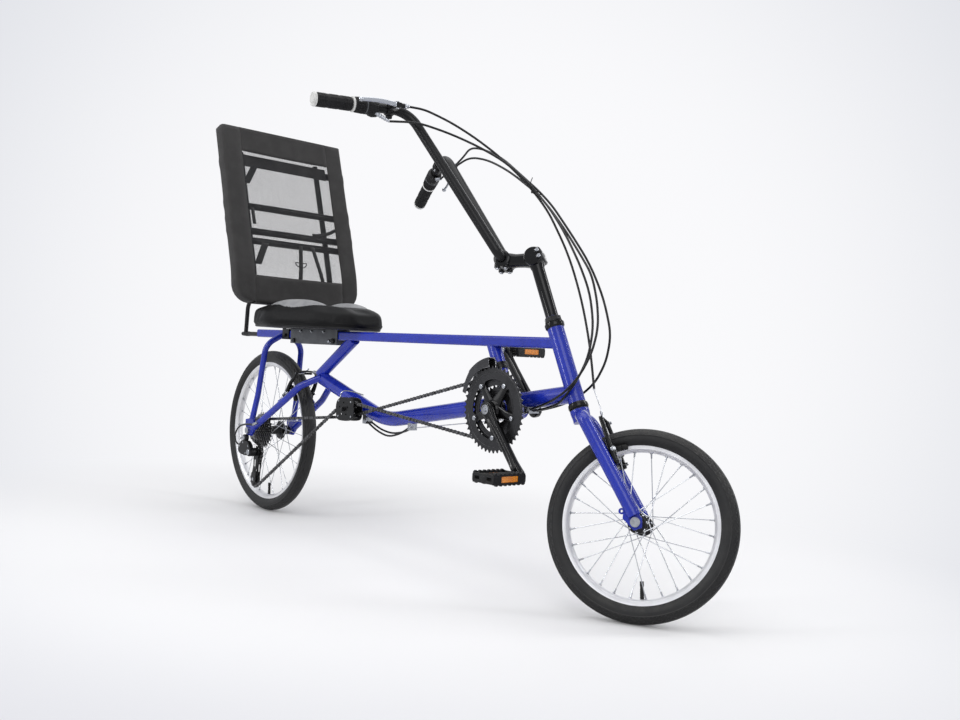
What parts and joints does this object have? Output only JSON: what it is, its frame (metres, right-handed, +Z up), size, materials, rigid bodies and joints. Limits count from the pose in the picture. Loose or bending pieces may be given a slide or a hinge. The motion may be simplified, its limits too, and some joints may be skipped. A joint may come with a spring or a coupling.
{
  "type": "recumbent bicycle",
  "caption": "Long-wheelbase recumbent bicycle with small wheels, mesh-back seat over the frame tube, high swept handlebar, long chain drive with idler and rim brakes",
  "frame": {"origin": "the middle of the seat cushion top, where the rider sits", "axes": "+X forwards, +Y to the rider's left, +Z up; the ground is 617 mm below"},
  "size_m": [1.8165, 0.6156, 1.135],
  "materials": {
    "tyre": "matte rubber",
    "rim": "anodised silver",
    "hub": "black anodised",
    "spoke": "bright wire",
    "frame_paint": "gloss blue",
    "black_metal": "black satin",
    "silver": "polished",
    "steel": "plated",
    "dark_steel": "dark plated",
    "grip_rubber": "soft",
    "plastic": "moulded black",
    "white_plastic": "moulded white",
    "bracket": "grey satin",
    "seat_cover": "woven black",
    "sling_cloth": "open mesh and webbing",
    "cable": "extruded sleeve"
  },
  "bodies": {
    "frame": {"head_tube": "frame_paint", "headset_cups": "black_metal", "top_tube": "frame_paint", "lower_tube": "frame_paint", "bottom_bracket_shell": "frame_paint", "seat_strut": "frame_paint", "seat_tube": "frame_paint", "chainstays": "frame_paint", "seatstays": "frame_paint", "rear_dropouts": "frame_paint", "rear_axle": "steel", "chain": "dark_steel", "chain_pulleys": "plastic", "idler_bracket": "black_metal", "rear_derailleur": "plastic", "front_derailleur_cage": "silver", "front_derailleur_body": "black_metal", "rear_brake_cable": "cable", "rear_shift_cable": "cable", "front_shift_cable": "cable", "cable_stops": "silver", "seat_bracket": "bracket", "seat_cushion": "seat_cover", "seat_pan": "plastic", "seat_back_sling": "sling_cloth", "seat_back_hoop": "black_metal", "seat_back_frame": "black_metal", "seat_back_hinge": "black_metal", "seat_back_stay": "black_metal", "rear_brake": "black_metal"},
    "rear_wheel": {"rear_tyre": "tyre", "rear_rim": "rim", "rear_hub": "hub", "rear_spokes": "spoke", "cassette": "dark_steel"},
    "crankset": {"crank_spindle": "steel", "chainrings": "dark_steel", "chainring_spider": "black_metal", "crank_arms": "black_metal"},
    "right_pedal_body": {"right_pedal": "plastic"},
    "left_pedal_body": {"left_pedal": "plastic"},
    "steering": {"fork": "frame_paint", "front_axle": "steel", "headset_locknut": "black_metal", "stem": "black_metal", "handlebar": "black_metal", "grips": "grip_rubber", "bar_end_caps": "silver", "grip_rings": "white_plastic", "twist_shifters": "plastic", "lever_bodies": "plastic", "lever_blades": "silver", "front_brake": "black_metal", "front_brake_cable": "cable"},
    "front_wheel": {"front_tyre": "tyre", "front_rim": "rim", "front_hub": "hub", "front_spokes": "spoke"}
  },
  "joints": [
    {"name": "steering_turn", "type": "hinge", "parent": "frame", "child": "steering", "pos_m": [0.91142, 0, -0.1296], "axis": [-0.4305, 0, 0.9026], "range_deg": [-75.56, 14.44], "deforming": ["rear_brake_cable", "rear_shift_cable", "front_shift_cable"]},
    {"name": "rear_wheel_spin", "type": "hinge", "parent": "frame", "child": "rear_wheel", "pos_m": [-0.3, 0, -0.376], "axis": [0, 1, 0], "continuous": true},
    {"name": "front_wheel_spin", "type": "hinge", "parent": "steering", "child": "front_wheel", "pos_m": [1.10605, 0.02695, -0.43164], "axis": [-0.4589, 0.8611, -0.2189], "continuous": true},
    {"name": "crank_spin", "type": "hinge", "parent": "frame", "child": "crankset", "pos_m": [0.753, 0, -0.233], "axis": [0, 1, 0], "continuous": true},
    {"name": "right_pedal_spin", "type": "hinge", "parent": "crankset", "child": "right_pedal_body", "pos_m": [0.86205, -0.12, -0.36342], "axis": [0, 1, 0], "continuous": true},
    {"name": "left_pedal_spin", "type": "hinge", "parent": "crankset", "child": "left_pedal_body", "pos_m": [0.64395, 0.12, -0.10258], "axis": [0, 1, 0], "continuous": true}
  ]
}
